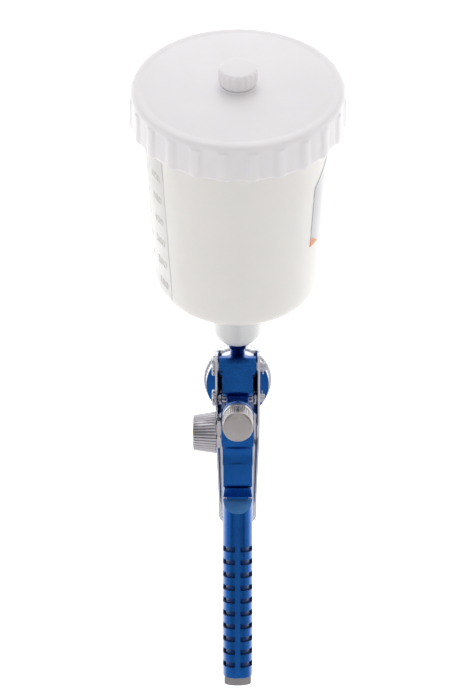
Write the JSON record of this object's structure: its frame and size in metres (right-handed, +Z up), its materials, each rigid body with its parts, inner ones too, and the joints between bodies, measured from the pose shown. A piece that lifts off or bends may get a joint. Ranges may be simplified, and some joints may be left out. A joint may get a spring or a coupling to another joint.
{
  "type": "hvlp spray gun",
  "caption": "Gravity-feed spray gun: screw-top cup above a slotted pistol grip, hinged trigger, needle knob behind, fan knob on the side, ringed air cap and hex hose inlet.",
  "frame": {"origin": "on the needle's axis, directly below the trigger pivot's rear side, where the cup's axis meets the needle's axis", "axes": "+Y out of the nozzle, +Z up with the nozzle level, +X to the user's right when the gun is held"},
  "size_m": [0.1182, 0.2022, 0.3847],
  "materials": {
    "blue_anodised": "satin",
    "chrome_plate": "polished",
    "spring_steel": "satin",
    "knob_aluminium": "brushed",
    "stainless_steel": "satin",
    "brass": "satin",
    "white_plastic": "gloss",
    "cup_plastic": "satin",
    "mesh_plastic": "satin",
    "white_seal": "matte",
    "black_rubber": "matte",
    "label_film": "gloss"
  },
  "bodies": {
    "gun": {"gun_body": "blue_anodised", "fluid_nozzle": "stainless_steel", "nozzle_seal": "white_seal", "air_distribution_ring": "white_seal", "needle_packing": "white_seal", "needle_packing_nut": "brass", "needle_guide_sleeve": "brass", "needle_spring": "spring_steel", "trigger_pivot_pin": "chrome_plate", "trigger_pivot_clip": "spring_steel", "fan_valve_nut": "chrome_plate", "fan_valve_seal": "white_seal", "air_valve_seat": "brass", "air_valve_packing": "white_seal", "air_valve_packing_nut": "brass", "air_valve_spring": "spring_steel", "air_inlet": "stainless_steel", "inlet_gasket": "black_rubber"},
    "trigger": {"trigger": "chrome_plate", "trigger_needle_pin": "chrome_plate", "needle_pin_washer_left": "chrome_plate", "needle_pin_washer_right": "chrome_plate", "needle_pin_clip": "spring_steel"},
    "needle": {"fluid_needle": "stainless_steel", "needle_collar": "brass"},
    "air_valve": {"air_valve_stem": "stainless_steel", "air_valve_disc": "black_rubber"},
    "fluid_knob": {"fluid_knob": "knob_aluminium"},
    "fan_valve": {"fan_knob": "knob_aluminium", "fan_knob_screw": "brass", "fan_valve_stem": "stainless_steel"},
    "air_cap": {"air_cap": "brass"},
    "air_cap_ring": {"air_cap_ring": "chrome_plate"},
    "cup": {"paint_cup": "cup_plastic", "cup_collar": "white_plastic", "cup_strainer": "mesh_plastic", "cup_label": "label_film"},
    "lid": {"cup_lid": "white_plastic", "lid_gasket": "white_seal"},
    "vent": {"vent_cap": "white_plastic", "vent_disc": "white_seal"}
  },
  "joints": [
    {"name": "trigger_pull", "type": "hinge", "parent": "gun", "child": "trigger", "pos_m": [0, -0.02, 0.0195], "axis": [-1, 0, 0], "range_deg": [0, 12], "stiffness_Nm_per_rad": 1.5, "springref_deg": -22.92},
    {"name": "needle_slide", "type": "slide", "parent": "gun", "child": "needle", "axis": [0, -1, 0], "range_m": [0, 0.0041], "deforming": ["needle_spring"]},
    {"name": "air_valve_slide", "type": "slide", "parent": "gun", "child": "air_valve", "axis": [0, -1, 0], "range_m": [0, 0.0116], "deforming": ["air_valve_spring"]},
    {"name": "fluid_knob_turn", "type": "hinge", "parent": "gun", "child": "fluid_knob", "pos_m": [0, -0.078, 0], "axis": [0, -1, 0], "range_deg": [0, 1080]},
    {"name": "fan_knob_turn", "type": "hinge", "parent": "gun", "child": "fan_valve", "pos_m": [-0.019, -0.052, -0.0124], "axis": [-1, 0, 0], "range_deg": [0, 720]},
    {"name": "air_cap_turn", "type": "hinge", "parent": "gun", "child": "air_cap", "pos_m": [0, 0.045, 0], "axis": [0, 1, 0], "continuous": true},
    {"name": "ring_unscrew", "type": "hinge", "parent": "gun", "child": "air_cap_ring", "pos_m": [0, 0.035, 0], "axis": [0, 1, 0], "range_deg": [0, 720]},
    {"name": "cup_unscrew", "type": "hinge", "parent": "gun", "child": "cup", "pos_m": [0, 0, 0], "axis": [0, -0.4618, 0.887], "range_deg": [0, 720]},
    {"name": "lid_unscrew", "type": "hinge", "parent": "cup", "child": "lid", "pos_m": [0, 0, 0], "axis": [0, -0.4618, 0.887], "range_deg": [0, 540]},
    {"name": "vent_turn", "type": "hinge", "parent": "lid", "child": "vent", "pos_m": [0, 0, 0], "axis": [0, -0.4618, 0.887], "range_deg": [0, 360]}
  ],
  "couplings": [
    {"joint": "needle_slide", "follows": "trigger_pull", "m_per_rad": 0.0194},
    {"joint": "air_valve_slide", "follows": "trigger_pull", "m_per_rad": 0.0552}
  ]
}
